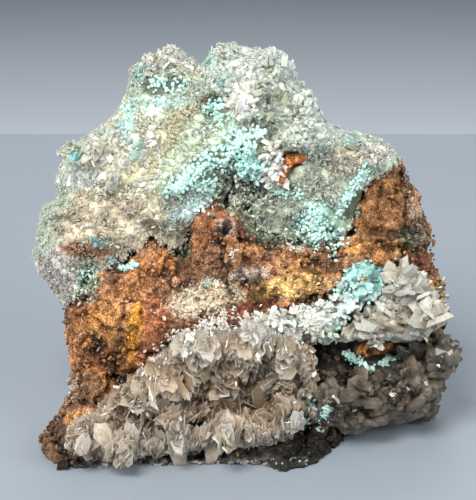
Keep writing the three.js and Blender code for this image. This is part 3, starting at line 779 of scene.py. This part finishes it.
# the grey glassy crystals on the lower right, and the clear ones of the ledge above them
glassLook = {
    "smoky": {
        "node": "smoky_hemimorphite", "slot": "smoky_crystal", "seed": 41,
        "voxel": 0.8, "sink": 0.8, "lumps": [("CLOUDS", 4, 2.4), ("VORONOI", 2.4, -1.4)],
        "layers": [
            {"count": 200, "each": 2, "rooted": 3.2, "outline": "stout", "rim": True,
             "length": (3.5, 7), "width": (2.8, 6), "thickness": (1.4, 3)},
            {"count": 420, "each": 2, "rooted": 1.4, "outline": "chisel", "rim": False,
             "length": (1.6, 3.6), "width": (1, 2.6), "thickness": (0.4, 1)},
        ],
        "bare": [area("black", (32, 30), (12, 4), 4, reach=60), area("black", (15, 16), (4, 5), reach=60)],
        "root": 0.45, "vary": 0.32, "tip": "ice", "tipShare": 0.3, "shadow": 0.35,
        "base": "smoke",
        "areas": [
            area("deepTan", (44, 28), (6, 3), amount=0.5),
            area("pinkBeige", (47, 28), (4, 2), -15, amount=0.7),
            area("greyGreen", (22, 20), (4, 4), amount=0.4),
            # painted shade: black in the slot and in the cavity
            area("black", (32, 30), (13, 4), 4, amount=0.9),
            area("black", (15, 16), (4, 5), amount=0.9),
            area("beige", (50, 36), (4, 6), amount=0.7), area("deepTan", (30, 20), (12, 6), amount=0.5),
        ],
        "material": {
            "mottle": [(1.5, 0.75, 1.15)], "streaks": (0.85, 1.08), "roughness": 0.04, "ior": 1.61,
            "transmission": 0.72, "absorb": (0.62, 0.50, 0.36), "density": 60,
        },
    },
    "clear": {
        "node": "ledge_hemimorphite", "slot": "clear_crystal", "seed": 43,
        "voxel": 0.7, "sink": 0.5, "lumps": [("CLOUDS", 4, 2.2), ("VORONOI", 3, -1.6)],
        "layers": [
            {"count": 130, "each": 2, "rooted": 4, "outline": "chisel", "rim": False,
             "length": (4, 7.5), "width": (3, 7), "thickness": (0.8, 1.9)},
            {"count": 420, "each": 2, "rooted": 1.4, "outline": "chisel", "rim": False,
             "length": (1.4, 3.4), "width": (0.8, 2.4), "thickness": (0.3, 0.9)},
        ],
        "bare": [],
        "root": 0.6, "vary": 0.25, "tip": "white", "tipShare": 0.6, "shadow": 0.8,
        "base": "ice",
        "areas": [
            area("smoke", (32, 38.5), (13, 3.6), 5, amount=0.85),
            area("greyGreen", (28, 42), (5, 4), amount=0.6),
            area("white", (34, 34.5), (16, 1.4), amount=0.9), area("white", (39, 45), (6, 5), amount=0.7),
        ],
        "material": {
            "mottle": [(1.5, 0.85, 1.08)], "streaks": (0.88, 1.06), "roughness": 0.07, "ior": 1.61,
            "transmission": 0.4, "glow": (0.2, 1), "absorb": (0.9, 0.86, 0.78), "density": 25,
        },
    },
}
for kind, look in glassLook.items():
    chance = np.random.default_rng(look["seed"])
    material = mineral(kind + "Hemimorphite", look["material"])
    body, places, height = roughCopy(look["node"], kind + "Crust", look)
    # painted shade: the crust under the crystals is darker by the shadow share, and darker in its hollows and
    # lighter on its lumps
    stainAndShade(body.data, paint(places, look) * look["shadow"] * np.clip(1 + 0.3 * height, 0.2, 1.6)[:, None])
    remember(body, look["node"])
    settle(body, crustMaterial, look["node"])
    for number, layer in enumerate(look["layers"]):
        spots, ways = openSpots(look["node"], layer["count"], chance)
        kept = ways[:, 2] > -0.55        # the undersides stay bare
        for place in look["bare"]:
            kept &= within(spots, place, 75) < 0.5
        spots, ways = spots[kept], ways[kept]
        along, plane = fans(ways, layer["each"], 0.5, 0.4, chance)
        along[:, 2] = np.maximum(along[:, 2], -0.1)
        roots = np.repeat(spots - layer["rooted"] * ways, layer["each"], 0)
        roots = roots + chance.normal(0, 0.4, along.shape)
        sides = [chance.uniform(*layer[side], len(roots)) for side in ("length", "width", "thickness")]
        cloud, faces, marks = crystals(
            layer["outline"], roots, along, plane, *sides, chance, 0.72, layer["rim"]
        )
        colours, marks = shadeCrystals(marks, np.repeat(paint(spots, look), layer["each"], 0), chance, look)
        cluster = arrayPiece(f"{kind}Crystals{number + 1}", cloud, faces, colours, marks)
        settle(cluster, material)

# the turquoise crust, lumpy, with rust spots
turquoiseLook = {
    "voxel": 0.5, "sink": 0.5,
    "lumps": [("CLOUDS", 4, 2.6), ("VORONOI", 1.8, -1.4), ("CLOUDS", 2, 1.4), ("CLOUDS", 0.7, 0.6)],
    "cracks": [(5, 1.4)],
    "base": "paleTurquoise",
    "areas": [
        area("turquoise", (30, 49.5), (6, 4), 20, amount=0.8),
        area("teal", (28, 47), (3, 2), 20, amount=0.7),
        area("white", (17, 41), (8, 2.2), 25, amount=0.7),
        area("darkGreen", (17.7, 42.5), (2, 1.8), amount=0.9),
        area("darkGreen", (10, 41.5), (2.4, 1.2), amount=0.7),
        area("white", (4, 38.5), (8, 2.2), 5, amount=0.8),
        area("greyGreen", (18, 37), (5, 2.5), 20, amount=0.7),
        area("white", (13, 34.5), (6, 2), amount=0.6),
        area("rust", (29.4, 49.6), (1, 0.8)), area("redBrown", (24.2, 44), (0.8, 0.7)),
        area("redBrown", (22.4, 43.6), (0.7, 0.7)), area("redBrown", (20.6, 41.3), (0.8, 0.7)),
        area("redBrown", (18.8, 44.4), (1.2, 0.7), amount=0.9), area("redBrown", (28, 42.8), (0.6, 0.6)),
    ],
}
turquoise, places, height = roughCopy("aurichalcite_crust", "turquoiseCrust", turquoiseLook)
colours = paint(places, turquoiseLook)
# painted shade and light: darker in the hollows and lighter on the lumps by their height, with random tone
colours *= np.clip(0.85 + 0.2 * height + 0.25 * noiseAt(places, 1.5, 12), 0.15, 1.2)[:, None]
stainAndShade(turquoise.data, colours)
remember(turquoise, "aurichalcite_crust")
turquoiseMaterial = mineral("aurichalcite", {
    "mottle": [(0.8, 0.75, 1.15), (0.3, 0.8, 1.15)], "bump": (0.4, 0.25), "roughness": 0.55,
})
settle(turquoise, turquoiseMaterial, "aurichalcite_crust")

# small turquoise balls in bands and pockets: a path on the face, how wide it is and how many balls lie on it
ballLook = {
    "seed": 51, "onCrust": 70,
    "bands": [
        {"path": [(-18.8, 71.2), (-14, 76)], "wide": 1.6, "count": 130, "size": (0.36, 0.66)},
        {"path": [(-14, 76), (-6, 80.5), (0, 85)], "wide": 2.9, "count": 230, "size": (0.34, 0.66)},
        {"path": [(-5, 84.5), (4, 86.5)], "wide": 1.7, "count": 130, "size": (0.36, 0.66)},
        {"path": [(-6, 77), (2, 80)], "wide": 2.4, "count": 80, "size": (0.3, 0.58)},
        {"path": [(-13, 73), (-7, 72.6)], "wide": 1.2, "count": 50, "size": (0.3, 0.6)},
        {"path": [(-26.5, 99.5), (-15, 98.5)], "wide": 2.8, "count": 85, "size": (0.3, 0.6)},
        {"path": [(-29, 95), (-30, 86)], "wide": 1.9, "count": 90, "size": (0.3, 0.6)},
        {"path": [(-26, 95), (-16, 94)], "wide": 1.0, "count": 40, "size": (0.25, 0.5)},
        {"path": [(-9, 94.5), (-5.5, 90)], "wide": 2.8, "count": 80, "size": (0.3, 0.65)},
        {"path": [(14, 64), (23.5, 58.5)], "wide": 3.6, "count": 260, "size": (0.25, 0.6)},
        {"path": [(7, 71.5), (14, 71)], "wide": 1.0, "count": 70, "size": (0.3, 0.55)},
        {"path": [(16, 68.5), (19, 65)], "wide": 1.3, "count": 60, "size": (0.3, 0.55)},
        {"path": [(31, 78.3), (23, 66)], "wide": 1.1, "count": 120, "size": (0.3, 0.65)},
        {"path": [(4.5, 74.5), (6, 71)], "wide": 1.0, "count": 40, "size": (0.3, 0.55)},
        {"path": [(-35, 54.8), (-31, 52), (-27.6, 53)], "wide": 0.6, "count": 80, "size": (0.3, 0.55)},
        {"path": [(25, 30.5), (32, 26)], "wide": 0.9, "count": 150, "size": (0.25, 0.5)},
        {"path": [(34, 27.5), (41.5, 31)], "wide": 0.8, "count": 130, "size": (0.25, 0.5)},
        {"path": [(13, 20), (18, 14), (23, 19)], "wide": 1.2, "count": 190, "size": (0.25, 0.5)},
    ],
}
chance = np.random.default_rng(ballLook["seed"])
bpy.ops.mesh.primitive_cube_add(size=2)
seedBall = bpy.context.object
bpy.ops.object.mode_set(mode="EDIT")
bpy.ops.mesh.subdivide(number_cuts=1)
bpy.ops.transform.tosphere(value=1)
bpy.ops.object.mode_set(mode="OBJECT")
ballSize = max(seedBall.dimensions) / 2
ballCorners = np.array([corner.co for corner in seedBall.data.vertices]) / ballSize
ballFaces = np.array([face.vertices for face in seedBall.data.polygons])
bpy.data.objects.remove(seedBall)
spots, ways, size = [], [], []
for band in ballLook["bands"]:
    path = np.array(band["path"], float)
    step = chance.uniform(0, len(path) - 1, band["count"])
    number = np.minimum(step.astype(int), len(path) - 2)
    middle = path[number] + (path[number + 1] - path[number]) * (step - number)[:, None]
    across, up = (middle + chance.normal(0, band["wide"] / 1.7, middle.shape)).T
    found, facing = landings(across, up)
    spots.append(found)
    ways.append(facing)
    size.append(chance.uniform(*band["size"], len(found)))
found, facing = openSpots("aurichalcite_crust", ballLook["onCrust"], chance)
spots.append(found)
ways.append(facing)
size.append(chance.uniform(0.25, 0.5, len(found)))
spots, ways, size = np.concatenate(spots), np.concatenate(ways), np.concatenate(size)
cloud, faces = pebbles(ballCorners, ballFaces, spots, ways, size, 0.7, chance, 0.06)
own = chance.random((len(spots), 1))
deep, pale = np.array(tints["turquoise"]), np.array(tints["paleTurquoise"])
colours = deep + (pale - deep) * own ** 0.35
colours = colours * (1 + chance.normal(0, 0.06, (len(spots), 1)))
balls = arrayPiece("turquoiseBalls", cloud, faces, np.repeat(colours, len(ballCorners), 0), smooth=True)
settle(balls, turquoiseMaterial)

# the red flake
flakeLook = {
    "voxel": 0.3, "lumps": [("CLOUDS", 1.5, 0.8), ("VORONOI", 0.8, 0.4)], "base": "flakeRed",
    "areas": [
        area("orange", (13, 80), (2, 0.8), amount=0.6), area("redBrown", (10, 76), (1.5, 2), amount=0.5),
    ],
}
flake, places, height = roughCopy("limonite_flake", "redFlake", flakeLook)
# painted shade and light: darker in the hollows and lighter on the lumps by their height
stainAndShade(flake.data, paint(places, flakeLook) * np.clip(1 + 0.2 * height, 0.4, 1.5)[:, None])
settle(flake, rockMaterial, "limonite_flake")

# a patch of little crystals: tint, middle, half sizes, slope in degrees, count and range of lengths
def patch(tint, at, size, rise, count, length, **more):
    return dict(tint=tint, at=at, size=size, rise=rise, count=count, length=length, **more)


# little crystals that grew on the bare rock, in the recesses and along the rims
littleLook = {
    "seed": 61, "root": 0.8, "vary": 0.16, "tip": "white", "tipShare": 0.3,
    "places": [
        patch("beige", (-11, 43.5), (9, 4), 8, 260, (0.9, 2), lying=True),
        patch("teal", (-10, 48.5), (2, 1.4), 0, 40, (0.7, 1.4)),
        patch("greyGreen", (50, 44), (1.6, 4), 0, 60, (1.2, 2.4)),
        patch("greyBrown", (-44, 21.5), (2.4, 2.6), 0, 70, (1.2, 2.6)),
        patch("white", (-3.3, 56), (0.8, 0.8), 0, 12, (0.8, 1.4)),
        patch("white", (11.5, 57.5), (3, 0.8), -20, 40, (0.8, 1.6)),
        patch("greyGreen", (-17, 56), (2, 2), 0, 30, (0.8, 1.6)),
        patch("pinkBeige", (33.5, 81), (4, 2), 0, 70, (1.2, 2.4)),
        patch("aqua", (1.4, 77.8), (3, 2.2), 0, 120, (2.4, 4.6), lit=True),
        patch("white", (7.2, 78), (1.8, 4.2), 0, 150, (2.4, 4.4), lit=True),
        patch("paleTurquoise", (-12, 69.5), (3.4, 3.4), 25, 110, (1.2, 2.6)),
        patch("white", (-1, 93), (3, 3.4), 0, 90, (2, 4)),
        patch("white", (8, 38), (10, 3), 8, 240, (1.4, 3), lying=True),
        patch("white", (17, 40), (8, 4), 25, 130, (1, 2.4), lying=True),
        patch("paleTurquoise", (24, 45), (9, 5), 30, 90, (1, 2.2), lying=True),
        patch("greyGreen", (17, 36), (6, 3), 15, 90, (1.2, 2.4), lying=True),
        patch("white", (-8, 37), (12, 1.6), 14, 260, (0.8, 1.8)),
        # the crystals in the recess under the arch are tinted dark green: partly their own colour, partly
        # painted shade
        patch("darkGreen", (-1, 72), (7, 5), 0, 120, (1, 2.4), lit=True),
        patch("olive", (0, 71), (7, 5), -20, 220, (1, 2.6), lit=True),
        patch("rust", (-40, 56.5), (5, 1.6), -10, 120, (0.7, 1.4)),
        patch("white", (-31, 21.5), (15, 1.5), 46, 260, (0.8, 2)),
        patch("white", (-12, 37), (9, 1.5), 22, 260, (0.8, 2)),
        patch("teal", (-40.5, 50.5), (2.6, 5), 0, 90, (1, 2.2)),
        patch("greyGreen", (-40, 47), (3, 5), 0, 70, (1, 2.2)),
        patch("greyBrown", (5, 54), (36, 8), -4, 110, (0.5, 1.1)),
        patch("greyBrown", (-35, 32), (9, 12), 0, 60, (0.5, 1.1)),
        patch("teal", (17, 16), (3, 5), 0, 70, (1, 2.2)),
        patch("slate", (-14, 2.2), (26, 1.4), 3, 160, (0.8, 2)),
    ],
}
chance = np.random.default_rng(littleLook["seed"])
spots, ways, length, colours, lying = [], [], [], [], []
for place in littleLook["places"]:
    turn = math.radians(place["rise"])
    along, over = (chance.normal(0, 0.5, (place["count"], 2)) * place["size"]).T
    across = place["at"][0] + along * math.cos(turn) - over * math.sin(turn)
    up = place["at"][1] + along * math.sin(turn) + over * math.cos(turn)
    found, facing = landings(across, up)
    spots.append(found)
    ways.append(facing)
    length.append(chance.uniform(*place["length"], len(found)))
    lying.append(np.full((len(found), 1), place.get("lying", False)))
    if place.get("lit"):        # these grew out of a recess towards the light
        ways[-1] = unit(facing + (0, -1.5, 0.8))
        spots[-1] = found + (0, -1.4, 0)
    colours.append(np.tile(np.array(tints[place["tint"]]), (len(found), 1)))
columns = (spots, ways, length, colours, lying)
spots, ways, length, colours, lying = (np.concatenate(rows) for rows in columns)
along, plane = fans(ways, 1, 0.7, 0.2, chance)
flatAlong, flatPlane = shingles(ways, (0.1, 0.5), 0.4, chance)
along, plane = np.where(lying, flatAlong, along), np.where(lying, flatPlane, plane)
wide = np.where(lying[:, 0], 0.6, 0.45) * length
thick = np.where(lying[:, 0], 0.12, 0.2) * length
roots = spots - 0.3 * length[:, None] * np.where(lying, 0.4, 1) * ways
cloud, faces, marks = crystals("chisel", roots, along, plane, length, wide, thick, chance)
colours, marks = shadeCrystals(marks, colours, chance, littleLook)
littleCrystals = arrayPiece("rockCrystals", cloud, faces, colours, marks)
frostMaterial = mineral("frostedHemimorphite", {
    "mottle": [(0.8, 0.9, 1.1)], "streaks": (0.9, 1.1), "roughness": 0.25, "ior": 1.61, "glow": (0.5, 1.6),
})
settle(littleCrystals, frostMaterial)

# floor that ends behind the specimen, with a shaded backdrop beyond it
stageLook = {"floorTint": (0.31, 0.35, 0.395), "behind": 0.245, "ahead": 2.0, "wide": 4.0}
bpy.ops.mesh.primitive_plane_add(size=1, location=(0, (stageLook["behind"] - stageLook["ahead"]) / 2, 0))
floor = bpy.context.object
floor.name = "floor"
floor.scale = (stageLook["wide"], stageLook["behind"] + stageLook["ahead"], 1)
bpy.ops.object.transform_apply(location=True, rotation=False, scale=True)
floorMaterial = bpy.data.materials.new("paleTable")
floorMaterial.use_nodes = True
floorShader = floorMaterial.node_tree.nodes["Principled BSDF"]
floorShader.inputs["Base Color"].default_value = (*stageLook["floorTint"], 1)
floorShader.inputs["Roughness"].default_value = 0.55
floorShader.inputs["Specular IOR Level"].default_value = 0.2
floor.data.materials.append(floorMaterial)

backdropLook = {"between": (-0.309, -0.266), "low": (0.50, 0.55, 0.61), "high": (0.18, 0.21, 0.24)}
world = bpy.data.worlds.new("studio")
bpy.context.scene.world = world
world.use_nodes = True
nodes, links = world.node_tree.nodes, world.node_tree.links
sky = nodes.new("ShaderNodeTexCoord")
split = nodes.new("ShaderNodeSeparateXYZ")
ramp = nodes.new("ShaderNodeValToRGB")
shift = nodes.new("ShaderNodeMapRange")
shift.inputs["From Min"].default_value = backdropLook["between"][0]
shift.inputs["From Max"].default_value = backdropLook["between"][1]
links.new(sky.outputs["Generated"], split.inputs["Vector"])
links.new(split.outputs["Z"], shift.inputs["Value"])
links.new(shift.outputs["Result"], ramp.inputs["Fac"])
links.new(ramp.outputs["Color"], nodes["Background"].inputs["Color"])
ramp.color_ramp.elements[0].color = (*backdropLook["low"], 1)
ramp.color_ramp.elements[1].color = (*backdropLook["high"], 1)
nodes["Background"].inputs["Strength"].default_value = 1.0
print("floor and backdrop set")

lamps = {
    "key": {"at": (-0.3, -0.62, 0.85), "size": 0.5, "watts": 12, "tint": (1, 0.98, 0.95)},
    "fill": {"at": (0.75, -0.6, 0.5), "size": 0.6, "watts": 7, "tint": (0.95, 0.98, 1)},
    "side": {"at": (-0.85, -0.45, 0.45), "size": 0.6, "watts": 3.8, "tint": (1, 0.99, 0.96)},
    "rim": {"at": (0.1, 0.7, 0.7), "size": 0.6, "watts": 3.0, "tint": (1, 1, 1)},
}
for name, lamp in lamps.items():
    bpy.ops.object.light_add(type="AREA", location=lamp["at"])
    light = bpy.context.object
    light.name = name
    light.data.size = lamp["size"]
    light.data.energy = lamp["watts"]
    light.data.color = lamp["tint"]
    aim = toWorld((0, 12, 50)) - np.array(lamp["at"])
    light.rotation_euler = (math.atan2(math.hypot(aim[0], aim[1]), -aim[2]), 0, math.atan2(-aim[0], aim[1]))
bpy.context.scene.view_settings.view_transform = "Standard"
print("lamps set:", ", ".join(lamps))

# camera: it looks down as much as the face leans back
cameraLook = {"aim": (-2, 15, 56.7), "distance": 0.8, "span": 126.6, "sensor": 36}
bpy.ops.object.camera_add()
camera = bpy.context.object
target = toWorld(cameraLook["aim"])
camera.location = target + cameraLook["distance"] * np.array([0, -math.cos(leanBack), math.sin(leanBack)])
camera.rotation_euler = (math.pi / 2 - leanBack, 0, 0)
camera.data.sensor_width = cameraLook["sensor"]
camera.data.lens = cameraLook["sensor"] * cameraLook["distance"] / (cameraLook["span"] * millimetre)
bpy.context.scene.camera = camera
print("camera set")
